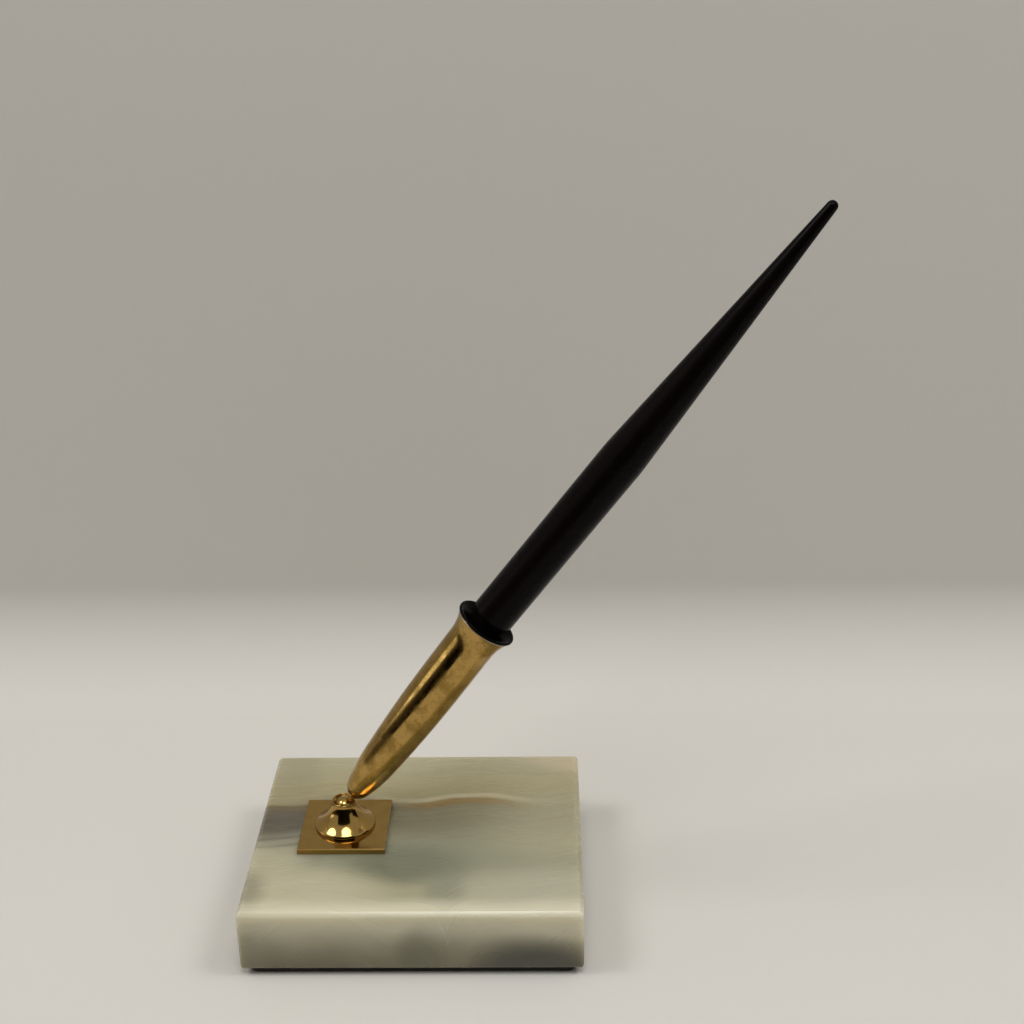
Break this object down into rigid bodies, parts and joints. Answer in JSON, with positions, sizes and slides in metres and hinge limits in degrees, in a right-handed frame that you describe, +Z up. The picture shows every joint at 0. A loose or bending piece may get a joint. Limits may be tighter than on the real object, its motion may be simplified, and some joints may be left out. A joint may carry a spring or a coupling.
{
  "type": "desk pen stand",
  "caption": "Polished onyx desk slab with a gold-plated ball swivel and leaning trumpet holder, and a tapered black desk pen that lifts out of it.",
  "frame": {"origin": "middle of the pad's underside, on the desk", "axes": "+X towards the side that the trumpet leans to, +Y to the back, +Z up"},
  "size_m": [0.1374, 0.069, 0.1781],
  "materials": {
    "onyx": "polished, banded green and cream",
    "felt": "black pressed felt",
    "gold_plated_brass": "gold plated, a little tarnished",
    "bare_brass": "turned",
    "steel": "zinc plated",
    "liner_plastic": "moulded black",
    "pen_plastic": "polished black",
    "nib_metal": "gold plated",
    "cartridge_plastic": "moulded, ink inside"
  },
  "bodies": {
    "base": {"onyx_base": "onyx", "felt_pad": "felt", "square_plate": "gold_plated_brass", "bell_socket": "gold_plated_brass", "friction_spring": "steel", "spring_plug": "bare_brass", "clamp_washer": "steel", "lock_washer": "steel", "clamp_nut": "steel"},
    "swivel": {"friction_cup": "bare_brass"},
    "holder": {"ball_stem": "gold_plated_brass", "stem_washer": "steel", "stem_nut": "steel", "trumpet_shell": "gold_plated_brass", "trumpet_liner": "liner_plastic"},
    "pen": {"pen_barrel": "pen_plastic", "pen_section": "pen_plastic", "pen_feed": "liner_plastic", "pen_nib": "nib_metal", "ink_cartridge": "cartridge_plastic"}
  },
  "joints": [
    {"name": "holder_swivel", "type": "hinge", "parent": "base", "child": "swivel", "pos_m": [-0.0188, 0, 0.0252], "axis": [0, 0, 1], "continuous": true},
    {"name": "holder_tilt", "type": "hinge", "parent": "swivel", "child": "holder", "pos_m": [-0.0188, 0, 0.0252], "axis": [0, 1, 0], "range_deg": [-73.7, 2.3]},
    {"name": "pen_lift", "type": "slide", "parent": "holder", "child": "pen", "axis": [0.6074, 0, 0.7944], "range_m": [0, 0.06]}
  ]
}
